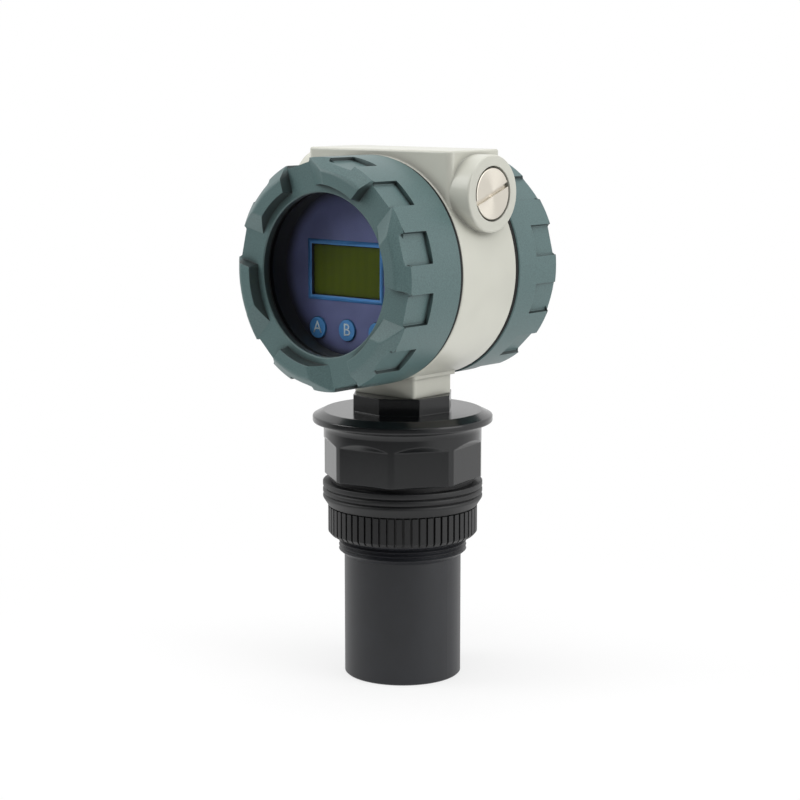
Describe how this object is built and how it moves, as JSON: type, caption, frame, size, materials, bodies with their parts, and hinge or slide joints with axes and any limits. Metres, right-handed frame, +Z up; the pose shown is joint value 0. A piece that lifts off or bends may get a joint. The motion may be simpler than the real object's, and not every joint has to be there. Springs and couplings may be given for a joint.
{
  "type": "ultrasonic level gauge",
  "caption": "Ultrasonic level gauge: a round two-cover transmitter head with a window, display and keys, cable bosses, a flanged neck and a threaded transducer tube with a lock nut.",
  "frame": {"origin": "centre of the transducer's lower face", "axes": "+Z up along the sensor axis, -Y out of the display window, +X out of the plugged cable entry"},
  "size_m": [0.1056, 0.1129, 0.2465],
  "materials": {
    "housing_paint": "satin",
    "cover_paint": "satin, fine texture",
    "seal_rubber": "matte",
    "window_glass": "clear",
    "window_ring_black": "matte",
    "plug_nickel": "turned",
    "sensor_gloss_black": "gloss",
    "tube_charcoal": "satin",
    "nut_black": "satin",
    "face_grey": "matte",
    "piezo_ceramic": "matte",
    "damping_resin": "matte",
    "lead_jacket": "matte",
    "panel_indigo": "matte",
    "screen_olive": "gloss",
    "key_blue": "matte",
    "switch_black": "matte",
    "board_green": "satin",
    "pillar_brass": "turned",
    "screw_steel": "plated",
    "terminal_plastic": "satin"
  },
  "bodies": {
    "base": {"housing": "housing_paint", "front_cover_seal": "seal_rubber", "rear_cover_seal": "seal_rubber", "sensor_body": "sensor_gloss_black", "transducer_tube": "tube_charcoal", "transducer_face": "face_grey", "piezo_disc": "piezo_ceramic", "damping_block": "damping_resin", "sensor_lead": "lead_jacket", "display_panel": "panel_indigo", "lcd_module": "screen_olive", "key_switches": "switch_black", "display_board": "board_green", "main_board": "board_green", "display_pillars": "pillar_brass", "board_pillars": "pillar_brass", "terminal_pillars": "pillar_brass", "display_screws": "screw_steel", "terminal_screws": "screw_steel", "earth_screw": "screw_steel", "terminal_block": "terminal_plastic"},
    "front_cover": {"front_cover": "cover_paint", "window_seal": "seal_rubber", "window_glass": "window_glass", "window_ring": "window_ring_black"},
    "rear_cover": {"rear_cover": "cover_paint"},
    "plug": {"blanking_plug": "plug_nickel", "plug_seal": "seal_rubber"},
    "lock_nut": {"lock_nut": "nut_black", "clamp_ring": "nut_black"},
    "key_a": {"key_a": "key_blue"},
    "key_b": {"key_b": "key_blue"},
    "key_c": {"key_c": "key_blue"}
  },
  "joints": [
    {"name": "front_cover_turn", "type": "hinge", "parent": "base", "child": "front_cover", "pos_m": [0, -0.04, 0.192], "axis": [0, -1, 0], "range_deg": [0, 1470]},
    {"name": "rear_cover_turn", "type": "hinge", "parent": "base", "child": "rear_cover", "pos_m": [0, 0.04, 0.192], "axis": [0, 1, 0], "range_deg": [0, 1470]},
    {"name": "plug_turn", "type": "hinge", "parent": "base", "child": "plug", "pos_m": [0.045, 0, 0.2275], "axis": [1, 0, 0], "range_deg": [0, 2010]},
    {"name": "lock_nut_turn", "type": "hinge", "parent": "base", "child": "lock_nut", "pos_m": [0, 0, 0.075], "axis": [0, 0, -1], "range_deg": [0, 1110]},
    {"name": "key_a_press", "type": "slide", "parent": "base", "child": "key_a", "axis": [0, 1, 0], "range_m": [0, 0.0006], "stiffness_N_per_m": 900},
    {"name": "key_b_press", "type": "slide", "parent": "base", "child": "key_b", "axis": [0, 1, 0], "range_m": [0, 0.0006], "stiffness_N_per_m": 900},
    {"name": "key_c_press", "type": "slide", "parent": "base", "child": "key_c", "axis": [0, 1, 0], "range_m": [0, 0.0006], "stiffness_N_per_m": 900}
  ]
}
